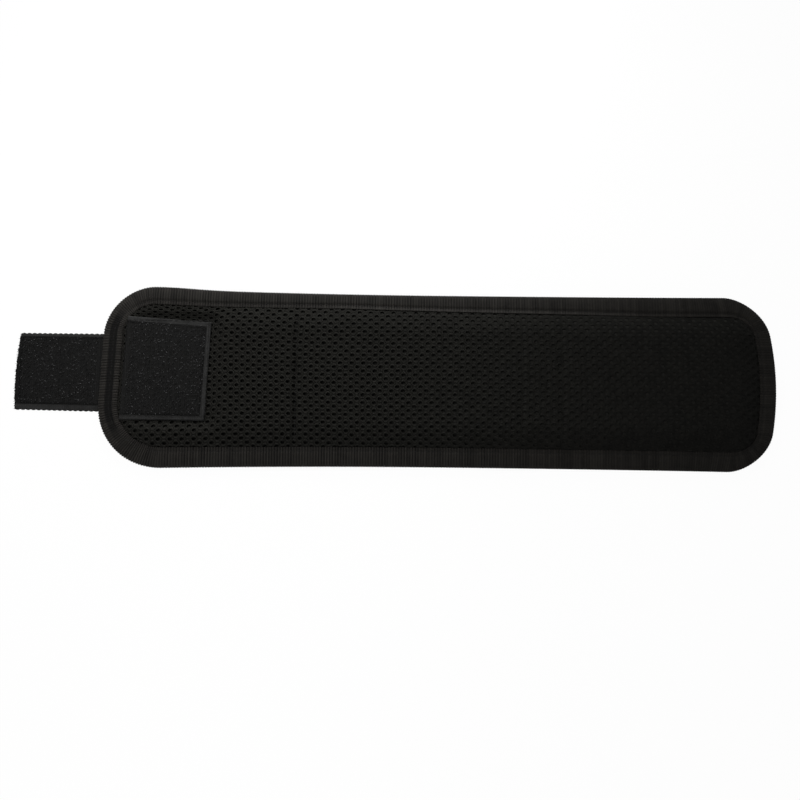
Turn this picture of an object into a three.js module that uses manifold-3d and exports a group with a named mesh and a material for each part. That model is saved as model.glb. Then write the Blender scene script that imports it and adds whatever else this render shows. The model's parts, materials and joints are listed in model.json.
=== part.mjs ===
// Magnetic wristband: a bound fabric band with a padded mesh lining, disc magnets in pockets,
// hook tape at its left end and loop tape on its outer face. It lies flat, mesh side up.
// Millimetres. X runs along the band, Y across it, and Z up out of the mesh side.
import * as THREE from 'three';
import { mergeVertices } from 'three/addons/utils/BufferGeometryUtils.js';
import Module from 'manifold-3d';

const wasm = await Module();
wasm.setup();

// Outline of the bound band
const bandLength = 334;
const leftWidth = 91;
const waistWidth = 85.5;
const rightWidth = 86.4;
const leftCornerRadius = 30;
const rightCornerRadius = 20.5;
const rightBow = 6.9;
const rightBowReach = 60;
const leftLean = 2; // degrees that the sewn left end leans
const leftLeanReach = 90;

// Fold lines, where the flat band bends round the wrist
const sectionCount = 10;
const leftSectionLength = 29;
const rightSectionLength = 33;
const foldGap = 0.3;

// Layers, from the outer face to the mesh crown
const loopTapeThickness = 1.6;
const layerGap = 0.1;
const coverThickness = 0.8;
const sheetThickness = 0.4;
const tongueThickness = 1.4;
const liningThickness = 5.2;
const seatGap = 0.3;

// Binding tape, folded round the edge of all the layers
const tapeWidth = 21.5;
const tapeThickness = 0.6;
const tapeEdgeRadius = 1.3;
const farLegWidth = 7.5;
const nearLegWidth = 9.8;
const leftLegWidth = 10.5;
const rightLegWidth = 8.6;

// Shoulder of the padded lining: how far in from the binding, and what share of the rise
const shoulderWidth = 9;
const shoulderWidthShares = [0, 0.08, 0.25, 0.5, 0.76, 1];
const shoulderRiseShares = [0.16, 0.42, 0.67, 0.86, 0.96, 1];

// Magnets in pockets between the carrier sheet and the lining
const magnetDiameter = 18;
const magnetThickness = 2;
const magnetChamfer = 0.3;
const magnetRowSpacing = 36;
const firstMagnetSection = 3;
const lastMagnetSection = 7;
const sheetSideMargin = 2;
const sheetWidth = 60;

// Hook tape: the patch on the mesh side and the tab past the left end
const hookBaseThickness = 0.7;
const hookHeight = 0.9;
const patchWidth = 50;
const patchLength = 43.8;
const patchOffset = 4.5;
const patchMargin = 2.3;
const pressedSlope = 3;
const tabWidth = 38;
const tabLength = 42.2;
const tabOffset = 2.6;
const tabNearMargin = 2.5;
const tabFarMargin = 1.5;
const tabRootMargin = 2;
const tabEndMargin = 0.9;
const tabEndBow = 1;
const tabLift = 38; // degrees that the tab can lift towards the mesh side
const tabSeamLength = 8;
const hingeReach = 0.45;

// Loop tape on the outer face, for the hooks to grip
const loopTapeWidth = 50;
const loopTapeStart = 32;
const loopTapeLength = 102;

// Stitched channel pressed across the mesh
const channelPlace = -70;
const channelWidth = 3.2;
const channelDepth = 1;

// How finely the round stretches are divided
const cornerSteps = 6;
const farSideSteps = 11;
const endSteps = 5;
const magnetSteps = 24;
const tabEndSteps = 6;

// One overrun serves every cut
const overrun = 4;

// Heights of the layers
const coverBottom = loopTapeThickness + layerGap;
const coverTop = coverBottom + coverThickness;
const liningBottom = coverTop + layerGap;
const tongueTop = liningBottom + tongueThickness;
const crown = liningBottom + liningThickness;
const sheetTop = liningBottom + sheetThickness;
const magnetBottom = sheetTop + layerGap;
const magnetTop = magnetBottom + magnetThickness;
const tapeInnerBottom = coverBottom - layerGap;
const tapeInnerTop = tongueTop + layerGap;
const tapeBottom = tapeInnerBottom - tapeThickness;
const tapeTop = tapeInnerTop + tapeThickness;
const patchBottom = tapeTop + layerGap;
const layerInset = tapeThickness + seatGap;

// Places along the band
const halfLength = bandLength / 2;
const halfWidth = leftWidth / 2;
const innerLength = bandLength - leftSectionLength - rightSectionLength;
const foldPitch = innerLength / (sectionCount - 2);
const foldLine = (index) => -halfLength + leftSectionLength + (index - 1) * foldPitch;
const patchLeft = -halfLength + leftLegWidth + layerGap;

const clamp = THREE.MathUtils.clamp;
const easeShare = (share) => share * share * (3 - 2 * share);

// The sewn left end leans: every layer and tape there slides along X with its place across
function leaned(x, y) {
  const share = clamp((-x - halfLength + leftLeanReach) / leftLeanReach, 0, 1);
  return x + Math.tan(THREE.MathUtils.degToRad(leftLean)) * y * easeShare(share);
}

// The band is drawn in at its waist and bowed out at its right end
function shaped(x, y) {
  const alongShare = x / halfLength;
  const endWidth = x < 0 ? leftWidth : rightWidth;
  const widthHere = waistWidth + (endWidth - waistWidth) * alongShare * alongShare;
  const across = y * widthHere / leftWidth;
  const bowShare = clamp((x - halfLength + rightBowReach) / rightBowReach, 0, 1);
  const acrossShare = across / (widthHere / 2);
  const bow = rightBow * acrossShare * acrossShare * easeShare(bowShare);
  return [leaned(x, across) - bow, across];
}

// Stations round the outline, anticlockwise from above, each with the direction that faces out
function outlineStations() {
  const list = [];
  const add = (x, y, angle) => list.push({ x, y, outX: Math.cos(angle), outY: Math.sin(angle) });
  const corner = (centreX, centreY, radius, quarter) => {
    for (let step = 0; step <= cornerSteps; step += 1) {
      const angle = (quarter + step / cornerSteps) * Math.PI / 2;
      add(centreX + radius * Math.cos(angle), centreY + radius * Math.sin(angle), angle);
    }
  };
  const side = (steps, angle, pointAt) => {
    for (let step = 1; step < steps; step += 1) {
      const [x, y] = pointAt(step / steps);
      add(x, y, angle);
    }
  };
  const rightX = halfLength - rightCornerRadius;
  const rightY = halfWidth - rightCornerRadius;
  const leftX = halfLength - leftCornerRadius;
  const leftY = halfWidth - leftCornerRadius;
  const mix = THREE.MathUtils.lerp;
  corner(rightX, -rightY, rightCornerRadius, -1);
  side(endSteps, 0, (share) => [halfLength, mix(-rightY, rightY, share)]);
  corner(rightX, rightY, rightCornerRadius, 0);
  side(farSideSteps, Math.PI / 2, (share) => [mix(rightX, -leftX, share), halfWidth]);
  corner(-leftX, leftY, leftCornerRadius, 1);
  side(endSteps, Math.PI, (share) => [-halfLength, mix(leftY, -leftY, share)]);
  corner(-leftX, -leftY, leftCornerRadius, 2);
  side(farSideSteps, -Math.PI / 2, (share) => [mix(-leftX, rightX, share), -halfWidth]);
  return list;
}

const outline = outlineStations();

// How far the binding reaches in over the mesh at one station
function legWidthAt(station) {
  const alongLeg = station.outX < 0 ? leftLegWidth : rightLegWidth;
  const acrossLeg = station.outY > 0 ? farLegWidth : nearLegWidth;
  return alongLeg * station.outX * station.outX + acrossLeg * station.outY * station.outY;
}

// A geometry from points and triangles
function indexed(points, triangles) {
  const geometry = new THREE.BufferGeometry();
  geometry.setAttribute('position', new THREE.Float32BufferAttribute(points.flat(), 3));
  geometry.setIndex(triangles);
  return geometry;
}

// Joins one ring of points for each row of a profile; the profile closes on itself or is capped
function ringLoft(profileAt, closes) {
  const profiles = outline.map(profileAt);
  const rows = profiles[0].length;
  const count = outline.length;
  const points = [];
  for (let row = 0; row < rows; row += 1) {
    outline.forEach((station, index) => {
      const [inset, height] = profiles[index][row];
      const [x, y] = shaped(station.x - inset * station.outX, station.y - inset * station.outY);
      points.push([x, y, height]);
    });
  }
  const triangles = [];
  for (let row = 0; row < (closes ? rows : rows - 1); row += 1) {
    const next = (row + 1) % rows;
    for (let index = 0; index < count; index += 1) {
      const beside = (index + 1) % count;
      const here = row * count;
      const above = next * count;
      triangles.push(here + index, here + beside, above + beside);
      triangles.push(here + index, above + beside, above + index);
    }
  }
  if (!closes) {
    const top = (rows - 1) * count;
    const flat = (start) => points.slice(start, start + count).map(([x, y]) => new THREE.Vector2(x, y));
    THREE.ShapeUtils.triangulateShape(flat(0), []).forEach(([a, b, c]) => triangles.push(c, b, a));
    THREE.ShapeUtils.triangulateShape(flat(top), []).forEach(([a, b, c]) => {
      triangles.push(top + a, top + b, top + c);
    });
  }
  return indexed(points, triangles);
}

// A closed geometry as a solid that can be joined and cut
function solid(geometry) {
  const bare = geometry.clone();
  bare.deleteAttribute('normal');
  bare.deleteAttribute('uv');
  const merged = mergeVertices(bare);
  return new wasm.Manifold(new wasm.Mesh({
    numProp: 3,
    vertProperties: new Float32Array(merged.attributes.position.array),
    triVerts: new Uint32Array(merged.index.array),
  }));
}

// The solid's vertices and triangles as a geometry again
function geometryOf(body) {
  const mesh = body.getMesh();
  const geometry = new THREE.BufferGeometry();
  geometry.setAttribute('position', new THREE.Float32BufferAttribute(mesh.vertProperties, 3));
  geometry.setIndex(Array.from(mesh.triVerts));
  geometry.computeVertexNormals();
  return geometry;
}

function block(left, right, near, far, bottom, top) {
  const geometry = new THREE.BoxGeometry(right - left, far - near, top - bottom);
  return geometry.translate((left + right) / 2, (near + far) / 2, (bottom + top) / 2);
}

// A flat-topped block whose lower and upper outlines may differ, with the lean of the left end
function leanedBlock(lower, upper, bottom, top) {
  const ring = ({ left, right, near, far }, height) => [
    [leaned(left, near), near, height],
    [leaned(right, near), near, height],
    [leaned(right, far), far, height],
    [leaned(left, far), far, height],
  ];
  const points = [...ring(lower, bottom), ...ring(upper, top)];
  const faces = [[3, 2, 1, 0], [4, 5, 6, 7], [0, 1, 5, 4], [1, 2, 6, 5], [2, 3, 7, 6], [3, 0, 4, 7]];
  return indexed(points, faces.flatMap(([a, b, c, d]) => [a, b, c, a, c, d]));
}

const grown = (box, by) => ({
  left: box.left - by, right: box.right + by, near: box.near - by, far: box.far + by,
});

// What one section keeps of a layer that runs the whole length
function sectionBlock(index, near = -leftWidth, far = leftWidth) {
  const left = index === 1 ? -halfLength - overrun : foldLine(index - 1) + foldGap / 2;
  const right = index === sectionCount ? halfLength + overrun : foldLine(index) - foldGap / 2;
  return solid(block(left, right, near, far, -overrun, crown + overrun));
}

// The padded mesh lining: a thin tongue inside the binding, a shoulder, and the crown
function liningSolid() {
  const profile = (station) => {
    const start = legWidthAt(station) + seatGap;
    const rise = crown - tongueTop;
    const shoulder = shoulderWidthShares.map((share, index) => [
      start + share * shoulderWidth,
      tongueTop + shoulderRiseShares[index] * rise,
    ]);
    return [[layerInset, liningBottom], [layerInset, tongueTop], [start, tongueTop], ...shoulder];
  };
  const recess = patchRecess();
  const channel = channelGroove();
  return solid(ringLoft(profile, false)).subtract(recess).subtract(channel);
}

const patchBox = {
  left: patchLeft,
  right: patchLeft + patchLength,
  near: patchOffset - patchWidth / 2,
  far: patchOffset + patchWidth / 2,
};

// The hook patch is sewn down hard, so the padding under it is pressed flat
function patchRecess() {
  const lower = grown(patchBox, seatGap);
  const upper = grown(patchBox, seatGap + pressedSlope);
  return solid(leanedBlock(lower, upper, patchBottom - layerGap, crown + layerGap));
}

// The stitched channel is a groove pressed across the mesh
function channelGroove() {
  const shape = new THREE.Shape([
    new THREE.Vector2(0, -channelDepth),
    new THREE.Vector2(channelWidth / 2, layerGap),
    new THREE.Vector2(-channelWidth / 2, layerGap),
  ]);
  const geometry = new THREE.ExtrudeGeometry(shape, { depth: leftWidth, bevelEnabled: false });
  geometry.translate(0, 0, -leftWidth / 2);
  geometry.rotateX(Math.PI / 2);
  return solid(geometry.translate(channelPlace, 0, crown));
}

// The binding: one tape folded round the edge, with a leg on each face
function bindingSolid() {
  const corner = tapeEdgeRadius * (1 - Math.SQRT1_2);
  const profile = (station) => {
    const meshLeg = legWidthAt(station);
    const outerLeg = tapeWidth - meshLeg - (tapeTop - tapeBottom);
    return [
      [corner, tapeBottom + corner],
      [0, tapeBottom + tapeEdgeRadius],
      [0, tapeTop - tapeEdgeRadius],
      [corner, tapeTop - corner],
      [tapeEdgeRadius, tapeTop],
      [meshLeg, tapeTop],
      [meshLeg, tapeInnerTop],
      [tapeThickness, tapeInnerTop],
      [tapeThickness, tapeInnerBottom],
      [outerLeg, tapeInnerBottom],
      [outerLeg, tapeBottom],
      [tapeEdgeRadius, tapeBottom],
    ];
  };
  return solid(ringLoft(profile, true));
}

function coverSolid() {
  return solid(ringLoft(() => [[layerInset, coverBottom], [layerInset, coverTop]], false));
}

// Carrier sheet of one section, and the place of its two magnets
function sheetBox(index) {
  return {
    left: foldLine(index - 1) + sheetSideMargin,
    right: foldLine(index) - sheetSideMargin,
    near: -sheetWidth / 2,
    far: sheetWidth / 2,
  };
}

function magnetPlaces(index) {
  const x = foldLine(index) - foldPitch / 2;
  return { far: [x, magnetRowSpacing / 2], near: [x, -magnetRowSpacing / 2] };
}

// The hollow in the lining's underside that holds one section's carrier and magnets
function magnetHollow(index) {
  const box = grown(sheetBox(index), layerGap);
  const hollow = solid(
    block(box.left, box.right, box.near, box.far, liningBottom - overrun, magnetBottom),
  );
  const depth = magnetTop + layerGap - sheetTop;
  return Object.values(magnetPlaces(index)).reduce((body, [x, y]) => {
    const radius = magnetDiameter / 2 + seatGap;
    const pocket = new THREE.CylinderGeometry(radius, radius, depth, magnetSteps);
    pocket.rotateX(Math.PI / 2).translate(x, y, sheetTop + depth / 2);
    return body.add(solid(pocket));
  }, hollow);
}

function magnetGeometry(x, y) {
  const radius = magnetDiameter / 2;
  const profile = [
    [0, 0],
    [radius - magnetChamfer, 0],
    [radius, magnetChamfer],
    [radius, magnetThickness - magnetChamfer],
    [radius - magnetChamfer, magnetThickness],
    [0, magnetThickness],
  ].map(([across, height]) => new THREE.Vector2(across, height));
  const geometry = new THREE.LatheGeometry(profile, magnetSteps);
  return geometry.rotateX(Math.PI / 2).translate(x, y, magnetBottom);
}

// Hook patch: a flat woven base with a raised field of hooks inside its plain margins
function patchSolid() {
  const fieldBox = grown(patchBox, -patchMargin);
  const baseTop = patchBottom + hookBaseThickness;
  const base = solid(leanedBlock(patchBox, patchBox, patchBottom, baseTop));
  const field = solid(leanedBlock(fieldBox, fieldBox, patchBottom, baseTop + hookHeight));
  return base.add(field);
}

// An outline of the tab from above; its free end is bowed out a little
function tabOutline(rootX, endX, near, far, bow) {
  const points = [[rootX, near], [rootX, far]];
  for (let step = 0; step <= tabEndSteps; step += 1) {
    const share = step / tabEndSteps;
    const y = THREE.MathUtils.lerp(far, near, share);
    points.push([endX - 4 * bow * share * (1 - share), y]);
  }
  return points.map(([x, y]) => [leaned(x, y), y]);
}

function plate(points, bottom, top) {
  const shape = new THREE.Shape(points.map(([x, y]) => new THREE.Vector2(x, y)));
  const geometry = new THREE.ExtrudeGeometry(shape, { depth: top - bottom, bevelEnabled: false });
  return solid(geometry.translate(0, 0, bottom));
}

const tabNear = tabOffset - tabWidth / 2;
const tabFar = tabOffset + tabWidth / 2;
const hingeLine = -halfLength - hingeReach;
const tabRoot = hingeLine - foldGap / 2;
const tabEnd = tabRoot - tabLength + tabEndBow;
const rootBevel = (hookBaseThickness + layerGap) * Math.tan(THREE.MathUtils.degToRad(tabLift));

// The tab: woven base with a bevelled root, so that it can lift, and its field of hooks
function tabSolid() {
  const rootLeft = tabRoot - tabRootMargin;
  const rootBox = { left: rootLeft, right: tabRoot, near: tabNear, far: tabFar };
  const bevelled = { ...rootBox, right: tabRoot - rootBevel };
  const root = solid(leanedBlock(rootBox, bevelled, 0, hookBaseThickness));
  const base = plate(
    tabOutline(rootLeft + tabRootMargin / 2, tabEnd, tabNear, tabFar, tabEndBow),
    0,
    hookBaseThickness,
  );
  const hooks = plate(
    tabOutline(rootLeft, tabEnd + tabEndMargin, tabNear + tabNearMargin, tabFar - tabFarMargin, tabEndBow),
    hookBaseThickness / 2,
    hookBaseThickness + hookHeight,
  );
  return base.add(root).add(hooks);
}

// The tab's own tape runs on under the binding, where it is sewn to the end of the band
function tabSeamGeometry() {
  const left = hingeLine + foldGap / 2;
  const box = { left, right: left + tabSeamLength, near: tabNear, far: tabFar };
  return leanedBlock(box, box, 0, hookBaseThickness);
}

function loopTapeSolid() {
  return solid(block(
    loopTapeStart,
    loopTapeStart + loopTapeLength,
    -loopTapeWidth / 2,
    loopTapeWidth / 2,
    0,
    loopTapeThickness,
  ));
}

// Finishes: colour, roughness and metalness of each kind of piece
const finishes = {
  cover: [0x17181b, 0.85, 0],
  lining: [0x1b1c1d, 0.95, 0],
  binding: [0x1d1c1b, 0.8, 0],
  hooks: [0x1e2024, 0.7, 0],
  loops: [0x151518, 1, 0],
  carrier: [0x33353a, 0.9, 0],
  magnet: [0xb9bcc0, 0.3, 1],
};

const band = new THREE.Group();

function place(name, finish, geometry) {
  const [color, roughness, metalness] = finishes[finish];
  const material = new THREE.MeshStandardMaterial({ color, roughness, metalness, flatShading: true });
  const mesh = new THREE.Mesh(geometry, material);
  mesh.name = name;
  band.add(mesh);
}

const lining = liningSolid();
const cover = coverSolid();
const binding = bindingSolid();
const patch = patchSolid();
const loopTape = loopTapeSolid();

for (let index = 1; index <= sectionCount; index += 1) {
  const section = sectionBlock(index);
  const hasMagnets = index >= firstMagnetSection && index <= lastMagnetSection;
  const padding = lining.intersect(section);
  place(`outer_cover_${index}`, 'cover', geometryOf(cover.intersect(section)));
  place(
    `mesh_lining_${index}`,
    'lining',
    geometryOf(hasMagnets ? padding.subtract(magnetHollow(index)) : padding),
  );
  if (index === 1) {
    place('binding_left_end', 'binding', geometryOf(binding.intersect(section)));
  } else if (index === sectionCount) {
    place('binding_right_end', 'binding', geometryOf(binding.intersect(section)));
  } else {
    const farHalf = sectionBlock(index, 0);
    const nearHalf = sectionBlock(index, -leftWidth, 0);
    place(`binding_far_${index}`, 'binding', geometryOf(binding.intersect(farHalf)));
    place(`binding_near_${index}`, 'binding', geometryOf(binding.intersect(nearHalf)));
  }
  if (hasMagnets) {
    const sheet = sheetBox(index);
    const places = magnetPlaces(index);
    place(
      `magnet_sheet_${index}`,
      'carrier',
      block(sheet.left, sheet.right, sheet.near, sheet.far, liningBottom, sheetTop),
    );
    place(`magnet_far_${index}`, 'magnet', magnetGeometry(...places.far));
    place(`magnet_near_${index}`, 'magnet', magnetGeometry(...places.near));
  }
  if (foldLine(index) > loopTapeStart && foldLine(index - 1) < loopTapeStart + loopTapeLength) {
    place(`loop_field_${index}`, 'loops', geometryOf(loopTape.intersect(section)));
  }
}

place('hook_patch_1', 'hooks', geometryOf(patch.intersect(sectionBlock(1))));
place('hook_patch_2', 'hooks', geometryOf(patch.intersect(sectionBlock(2))));
place('hook_tab_root', 'hooks', tabSeamGeometry());
place('hook_tab', 'hooks', geometryOf(tabSolid()));

// The origin is under the middle of the whole part, on the plane that it rests on
const extent = new THREE.Box3().setFromObject(band);
const middle = extent.getCenter(new THREE.Vector3());
band.position.set(-middle.x, -middle.y, -extent.min.z);

export default band;
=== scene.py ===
import json
import math
import bpy
import numpy as np
from mathutils import Euler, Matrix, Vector


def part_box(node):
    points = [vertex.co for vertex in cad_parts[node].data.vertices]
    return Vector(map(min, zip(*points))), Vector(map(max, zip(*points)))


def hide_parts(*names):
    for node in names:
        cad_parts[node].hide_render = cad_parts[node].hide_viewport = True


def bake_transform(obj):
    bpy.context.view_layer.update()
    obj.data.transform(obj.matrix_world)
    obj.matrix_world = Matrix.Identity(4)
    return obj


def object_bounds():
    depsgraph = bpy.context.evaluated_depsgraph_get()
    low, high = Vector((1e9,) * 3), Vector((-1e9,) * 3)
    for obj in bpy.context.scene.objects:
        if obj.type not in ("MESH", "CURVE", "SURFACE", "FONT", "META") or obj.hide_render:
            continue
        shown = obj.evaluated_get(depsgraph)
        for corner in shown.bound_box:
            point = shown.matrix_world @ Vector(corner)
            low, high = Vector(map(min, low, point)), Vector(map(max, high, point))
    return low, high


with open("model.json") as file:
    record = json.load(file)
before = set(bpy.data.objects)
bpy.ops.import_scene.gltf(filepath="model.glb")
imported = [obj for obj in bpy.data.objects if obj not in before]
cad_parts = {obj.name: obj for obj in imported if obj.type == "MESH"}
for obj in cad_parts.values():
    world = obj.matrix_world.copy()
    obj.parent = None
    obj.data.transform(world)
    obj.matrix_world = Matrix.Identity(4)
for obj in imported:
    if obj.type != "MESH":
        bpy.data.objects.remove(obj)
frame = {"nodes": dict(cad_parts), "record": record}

cad_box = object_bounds()
bpy.ops.object.select_all(action="DESELECT")

# The view. The camera looks down on the mesh side of the flat band, from a little in front of its
# near edge, and is turned by less than a degree.
mm = 0.001
joints = {joint["name"]: joint for joint in frame["record"]["behaviour"]["joints"]}
channel_place = -70 * mm
band_middle = joints["fold_3"]["pos_m"][0] - channel_place
view_width_pixels = 800
view_focal_pixels = 900
view_distance = 447.3 * mm
view_aside = 18.8 * mm
view_below = 9.2 * mm
view_tilt = math.radians(5.8)
view_roll = math.radians(0.67)

bpy.ops.object.camera_add()
camera = bpy.context.object
camera.data.lens = camera.data.sensor_width * view_focal_pixels / view_width_pixels
camera.rotation_euler = Euler((view_tilt, 0, view_roll))
camera.location = camera.rotation_euler.to_matrix() @ Vector((-view_aside, -view_below, view_distance))
camera.location.x += band_middle
camera.data.clip_start = 1 * mm
bpy.context.scene.camera = camera

# The stage. The band lies on a plain white sheet in a dim white room. A soft lamp stands low beyond its
# far side, a weaker one hangs over the left half, and a third stands on the near side.
floor_size = 4.0
floor_gap = 0.05 * mm
floor_white = (0.9, 0.9, 0.9, 1)
floor_roughness = 0.9
floor_glow_share = 0.97
room_strength = 0.1
lamp_aim = Vector((-0.06, 0, 0))
lamp_spread = math.radians(125)
# The place, size and power of each lamp
lamps = {
    "key_lamp": ((-0.02, 0.31, 0.15), 0.22, 0.98),
    "left_lamp": ((-0.225, 0.1, 0.22), 0.15, 0.22),
    "near_lamp": ((-0.14, -0.48, 0.15), 0.22, 0.68),
}


def new_material(name):
    """A node material that holds one principled shader, joined to its output"""
    material = bpy.data.materials.new(name)
    material.use_nodes = True
    tree = material.node_tree
    tree.nodes.clear()
    shader = tree.nodes.new("ShaderNodeBsdfPrincipled")
    output = tree.nodes.new("ShaderNodeOutputMaterial")
    tree.links.new(shader.outputs["BSDF"], output.inputs["Surface"])
    return material, tree, shader


def maths(tree, operation, first, second=0):
    """A maths node; each of its two values is a socket or a number"""
    node = tree.nodes.new("ShaderNodeMath")
    node.operation = operation
    for slot, value in enumerate((first, second)):
        if isinstance(value, (int, float)):
            node.inputs[slot].default_value = value
        else:
            tree.links.new(value, node.inputs[slot])
    return node.outputs[0]


def times(tree, first, second):
    return maths(tree, "MULTIPLY", first, second)


def plus(tree, first, second):
    return maths(tree, "ADD", first, second)


def seen_directly(tree):
    """One for rays from the camera, from a mirror or through glass, and zero for the rest"""
    path = tree.nodes.new("ShaderNodeLightPath").outputs
    either = maths(tree, "MAXIMUM", path["Is Camera Ray"], path["Is Glossy Ray"])
    return maths(tree, "MAXIMUM", either, path["Is Transmission Ray"])


def white_sheet():
    material, tree, shader = new_material("white_sheet")
    shader.inputs["Base Color"].default_value = floor_white
    shader.inputs["Roughness"].default_value = floor_roughness
    glow = tree.nodes.new("ShaderNodeEmission")
    mix = tree.nodes.new("ShaderNodeMixShader")
    tree.links.new(times(tree, seen_directly(tree), floor_glow_share), mix.inputs["Fac"])
    tree.links.new(shader.outputs["BSDF"], mix.inputs[1])
    tree.links.new(glow.outputs["Emission"], mix.inputs[2])
    tree.links.new(mix.outputs["Shader"], tree.nodes["Material Output"].inputs["Surface"])
    return material


bpy.ops.mesh.primitive_plane_add(size=floor_size, location=(0, 0, cad_box[0][2] - floor_gap))
floor = bpy.context.object
floor.name = "floor"
floor.data.materials.append(white_sheet())

world = bpy.data.worlds.new("white_room")
bpy.context.scene.world = world
world.use_nodes = True
room = world.node_tree
walls = room.nodes["Background"]
walls.inputs["Color"].default_value = (1, 1, 1, 1)
brighter = times(room, seen_directly(room), 1 - room_strength)
room.links.new(plus(room, brighter, room_strength), walls.inputs["Strength"])
bpy.context.scene.view_settings.view_transform = "Standard"


def soft_lamp(name, place, size, power):
    """A square area lamp that faces the left half of the band"""
    bpy.ops.object.light_add(type="AREA", location=place)
    lamp = bpy.context.object
    lamp.name = name
    lamp.data.size = size
    lamp.data.energy = power
    lamp.data.spread = lamp_spread
    lamp.rotation_euler = (lamp_aim - Vector(place)).to_track_quat("-Z", "Y").to_euler()


for name, lamp in lamps.items():
    soft_lamp(name, *lamp)

# The edge binding: one ribbed polyester tape, folded round the edge of all the layers and sewn through
# them. It rounds off to the edge, dips along its seam, and its selvage lifts where the mesh swells.
band_length = 334 * mm
left_width = 91 * mm
waist_width = 85.5 * mm
right_width = 87.0 * mm
far_left_radius = 25 * mm
near_left_radius = 33 * mm
right_radius = 20.5 * mm
far_swell = 1 * mm
far_swell_place = -137 * mm
far_swell_reach = 20 * mm
right_bow = 6.9 * mm
right_bow_reach = 60 * mm
left_lean = math.tan(math.radians(2))
left_lean_reach = 90 * mm
half_length = band_length / 2
half_width = left_width / 2
corner_steps = 48

tape_width = 21.5 * mm
tape_thickness = 0.6 * mm
tape_turn = 1.5 * mm
far_leg_places = (-126 * mm, -47 * mm, 7 * mm, 66 * mm, 105 * mm)
far_leg_widths = (9.0 * mm, 8.1 * mm, 9.1 * mm, 9.9 * mm, 10.7 * mm)
near_leg = 10.3 * mm
left_leg = 10.0 * mm
right_leg = 8.6 * mm
tape_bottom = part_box("binding_left_end")[0][2]
tape_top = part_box("binding_left_end")[1][2]
edge_middle = 2.5 * mm
tape_headroom = 0.65 * mm
edge_rise = tape_top - tape_headroom - edge_middle
round_places = (-120 * mm, -30 * mm)
far_rounds = (5.5 * mm, 9.0 * mm)
near_round = 9.0 * mm
lip_rise = 0.6 * mm
lip_reach = 1.3 * mm
lip_places = (-150 * mm, -60 * mm, -30 * mm, 45 * mm, 110 * mm)
lip_shares = (0.1, 0.35, 1.0, 0.9, 0.35)
rib_pitch = 1.35 * mm
rib_height = 0.2 * mm
rib_points = 4
rib_draws = np.random.default_rng(5)
seam_inset = 2.1 * mm
seam_width = 0.6 * mm
seam_dip = 0.3 * mm
edge_dip = 0.45 * mm
edge_dip_reach = 4 * mm
fade_places = (-20 * mm, 90 * mm)
fade_shares = (1.0, 0.4)
selvage_width = 0.7 * mm
rib_strengths = (0.5, 1.3)
rib_tones = (-0.22, 0.22)
valley_calm = 0.6
selvage_calm = 0.6
rib_weight = 0.62
yarn_weight = 0.35
# How much lighter the left end's ridges are painted: a painted highlight
ridge_painted_highlight = 0.3
# How much lighter the lifted selvage line is painted: a painted highlight, strongest where it stands up
# most
selvage_painted_highlight = 0.4
valley_shade = 0.3
valley_share = 0.53
valley_reach = 0.2
valley_dip = 0.6 * mm
ridge_rise = 1 * mm
ridge_inset = 1.8 * mm
ridge_reach = 1.3 * mm
weld = 0.01 * mm


def ease(share):
    return share * share * (3 - 2 * share)


def rise(distance, reach):
    """From zero to one over a reach"""
    return np.clip(distance / reach, 0, 1)


def fade(distance, reach):
    """From one to zero over a reach"""
    return np.clip(1 - distance / reach, 0, 1)


def bell(distance, reach, power=2):
    """One at a place, fading to both sides of it"""
    return np.exp(-(distance / reach) ** power)


def leaned(x, y):
    """Slides a place along the band as the leaning left end is sewn"""
    share = rise(-x - half_length + left_lean_reach, left_lean_reach)
    return x + left_lean * y * ease(share)


def shaped(x, y):
    """From a plain round-cornered strip to the band: drawn in at its waist, leaning left, bowed right"""
    along = x / half_length
    width = waist_width + (np.where(x < 0, left_width, right_width) - waist_width) * along ** 2
    across = y * width / left_width
    swell = far_swell * bell(x - far_swell_place, far_swell_reach)
    across = across + swell * np.clip(across / half_width, 0, 1) ** 2
    bow_share = ease(rise(x - half_length + right_bow_reach, right_bow_reach))
    bow = right_bow * (2 * across / width) ** 2 * bow_share
    return leaned(x, across) - bow, across


def plain_outline():
    """Points and outward directions round the plain strip, and the distance round it at each"""
    rows = []
    corners = [
        (1, -1, right_radius), (1, 1, right_radius),
        (-1, 1, far_left_radius), (-1, -1, near_left_radius),
    ]
    for quarter, (side_x, side_y, radius) in enumerate(corners):
        for step in range(corner_steps + 1):
            angle = (quarter - 1 + step / corner_steps) * math.pi / 2
            out_x, out_y = math.cos(angle), math.sin(angle)
            x = side_x * (half_length - radius) + radius * out_x
            y = side_y * (half_width - radius) + radius * out_y
            rows.append((x, y, out_x, out_y))
    rows.append(rows[0])
    rows = np.array(rows)
    lengths = np.hypot(np.diff(rows[:, 0]), np.diff(rows[:, 1]))
    return rows, np.concatenate([[0], np.cumsum(lengths)])


outline_rows, outline_distance = plain_outline()
outline_length = outline_distance[-1]


def outline_at(distance):
    """The plain strip's edge point and outward direction at each distance round it"""
    wrapped = np.mod(distance, outline_length)
    x, y, out_x, out_y = (np.interp(wrapped, outline_distance, column) for column in outline_rows.T)
    size = np.hypot(out_x, out_y)
    return x, y, out_x / size, out_y / size


def leg_width(x, out_x, out_y):
    """How far the tape reaches in over the mesh at x, where the edge faces (out_x, out_y)"""
    along = np.where(out_x < 0, left_leg, right_leg)
    across = np.where(out_y > 0, np.interp(x, far_leg_places, far_leg_widths), near_leg)
    return along * out_x ** 2 + across * out_y ** 2


def left_end(out_x):
    """One where the edge faces left, falling to zero round the corners"""
    return np.clip(-out_x, 0, 1) ** 4


def valley(inset, leg, out_x):
    """One where the tab's seams hold the tape down at the left end, and zero away from there"""
    return left_end(out_x) * bell(inset / leg - valley_share, valley_reach, 8)


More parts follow.
